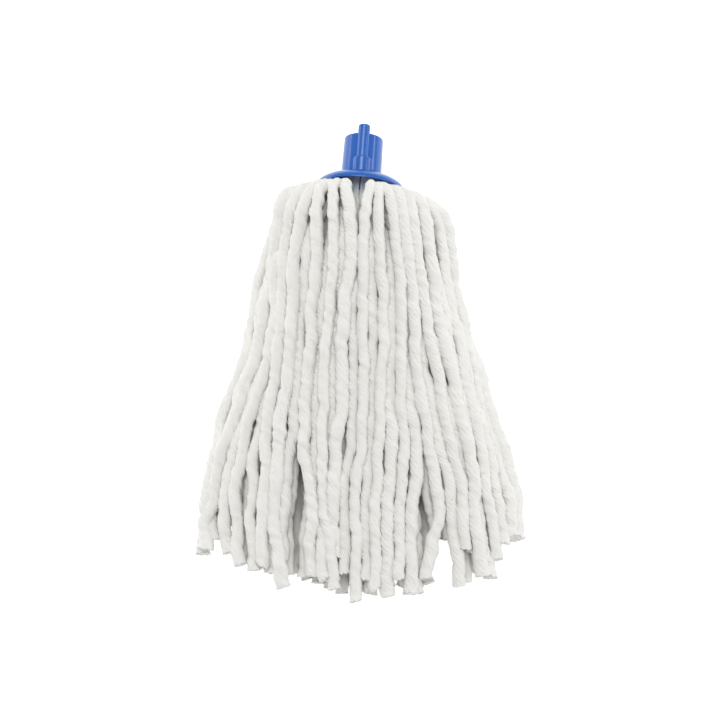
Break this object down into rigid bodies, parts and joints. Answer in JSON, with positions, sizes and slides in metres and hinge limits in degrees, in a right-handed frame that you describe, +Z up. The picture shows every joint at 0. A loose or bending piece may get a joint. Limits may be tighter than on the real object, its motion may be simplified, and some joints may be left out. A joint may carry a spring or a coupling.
{
  "type": "string mop head",
  "caption": "Round socket mop head: blue moulded handle socket with domed flange and key rib, pale clamp ring, and a fan of thick twisted cotton yarns.",
  "frame": {"origin": "on the surface the mop head lies on, under the middle of its bounding box", "axes": "+Y along the socket, out of its mouth, +Z up, the yarns lie towards -Y"},
  "size_m": [0.2374, 0.3408, 0.0841],
  "materials": {
    "socket_blue": "glossy moulded plastic, mid blue",
    "clamp_pale": "translucent off-white moulded plastic",
    "rivet_steel": "plain zinc-plated steel",
    "cotton_yarn": "soft twisted cotton yarn, off-white, slightly hairy"
  },
  "bodies": {
    "mop_head": {"handle_socket": "socket_blue", "clamp_ring": "clamp_pale", "core_plug": "clamp_pale", "plug_rivet": "rivet_steel", "under_hank_1": "cotton_yarn", "under_hank_2": "cotton_yarn", "under_hank_3": "cotton_yarn", "under_hank_4": "cotton_yarn", "under_hank_5": "cotton_yarn", "under_hank_6": "cotton_yarn"},
    "lock_1": {"yarn_1_a": "cotton_yarn", "yarn_1_b": "cotton_yarn", "yarn_1_c": "cotton_yarn", "yarn_1_d": "cotton_yarn"},
    "lock_2": {"yarn_2_a": "cotton_yarn", "yarn_2_b": "cotton_yarn", "yarn_2_c": "cotton_yarn", "yarn_2_d": "cotton_yarn"},
    "lock_3": {"yarn_3_a": "cotton_yarn", "yarn_3_b": "cotton_yarn", "yarn_3_c": "cotton_yarn", "yarn_3_d": "cotton_yarn"},
    "lock_4": {"yarn_4_a": "cotton_yarn", "yarn_4_b": "cotton_yarn", "yarn_4_c": "cotton_yarn", "yarn_4_d": "cotton_yarn"},
    "lock_5": {"yarn_5_a": "cotton_yarn", "yarn_5_b": "cotton_yarn", "yarn_5_c": "cotton_yarn", "yarn_5_d": "cotton_yarn"},
    "lock_6": {"yarn_6_a": "cotton_yarn", "yarn_6_b": "cotton_yarn", "yarn_6_c": "cotton_yarn", "yarn_6_d": "cotton_yarn"},
    "lock_7": {"yarn_7_a": "cotton_yarn", "yarn_7_b": "cotton_yarn", "yarn_7_c": "cotton_yarn", "yarn_7_d": "cotton_yarn"},
    "lock_8": {"yarn_8_a": "cotton_yarn", "yarn_8_b": "cotton_yarn", "yarn_8_c": "cotton_yarn", "yarn_8_d": "cotton_yarn"}
  },
  "joints": [
    {"name": "lock_1_lift", "type": "hinge", "parent": "mop_head", "child": "lock_1", "pos_m": [-0.04937, 0.10912, 0.04985], "axis": [-0.1951, 0, -0.9808], "range_deg": [0, 35], "deforming": ["yarn_1_a", "yarn_1_b", "yarn_1_c", "yarn_1_d"]},
    {"name": "lock_2_lift", "type": "hinge", "parent": "mop_head", "child": "lock_2", "pos_m": [-0.04489, 0.10912, 0.06067], "axis": [-0.5556, 0, -0.8315], "range_deg": [0, 35], "deforming": ["yarn_2_a", "yarn_2_b", "yarn_2_c", "yarn_2_d"]},
    {"name": "lock_3_lift", "type": "hinge", "parent": "mop_head", "child": "lock_3", "pos_m": [-0.03662, 0.10912, 0.06894], "axis": [-0.8315, 0, -0.5556], "range_deg": [0, 35], "deforming": ["yarn_3_a", "yarn_3_b", "yarn_3_c", "yarn_3_d"]},
    {"name": "lock_4_lift", "type": "hinge", "parent": "mop_head", "child": "lock_4", "pos_m": [-0.0258, 0.10912, 0.07342], "axis": [-0.9808, 0, -0.1951], "range_deg": [0, 35], "deforming": ["yarn_4_a", "yarn_4_b", "yarn_4_c", "yarn_4_d"]},
    {"name": "lock_5_lift", "type": "hinge", "parent": "mop_head", "child": "lock_5", "pos_m": [-0.0141, 0.10912, 0.07342], "axis": [-0.9808, 0, 0.1951], "range_deg": [0, 35], "deforming": ["yarn_5_a", "yarn_5_b", "yarn_5_c", "yarn_5_d"]},
    {"name": "lock_6_lift", "type": "hinge", "parent": "mop_head", "child": "lock_6", "pos_m": [-0.00328, 0.10912, 0.06894], "axis": [-0.8315, 0, 0.5556], "range_deg": [0, 35], "deforming": ["yarn_6_a", "yarn_6_b", "yarn_6_c", "yarn_6_d"]},
    {"name": "lock_7_lift", "type": "hinge", "parent": "mop_head", "child": "lock_7", "pos_m": [0.00499, 0.10912, 0.06067], "axis": [-0.5556, 0, 0.8315], "range_deg": [0, 35], "deforming": ["yarn_7_a", "yarn_7_b", "yarn_7_c", "yarn_7_d"]},
    {"name": "lock_8_lift", "type": "hinge", "parent": "mop_head", "child": "lock_8", "pos_m": [0.00947, 0.10912, 0.04985], "axis": [-0.1951, 0, 0.9808], "range_deg": [0, 35], "deforming": ["yarn_8_a", "yarn_8_b", "yarn_8_c", "yarn_8_d"]}
  ]
}
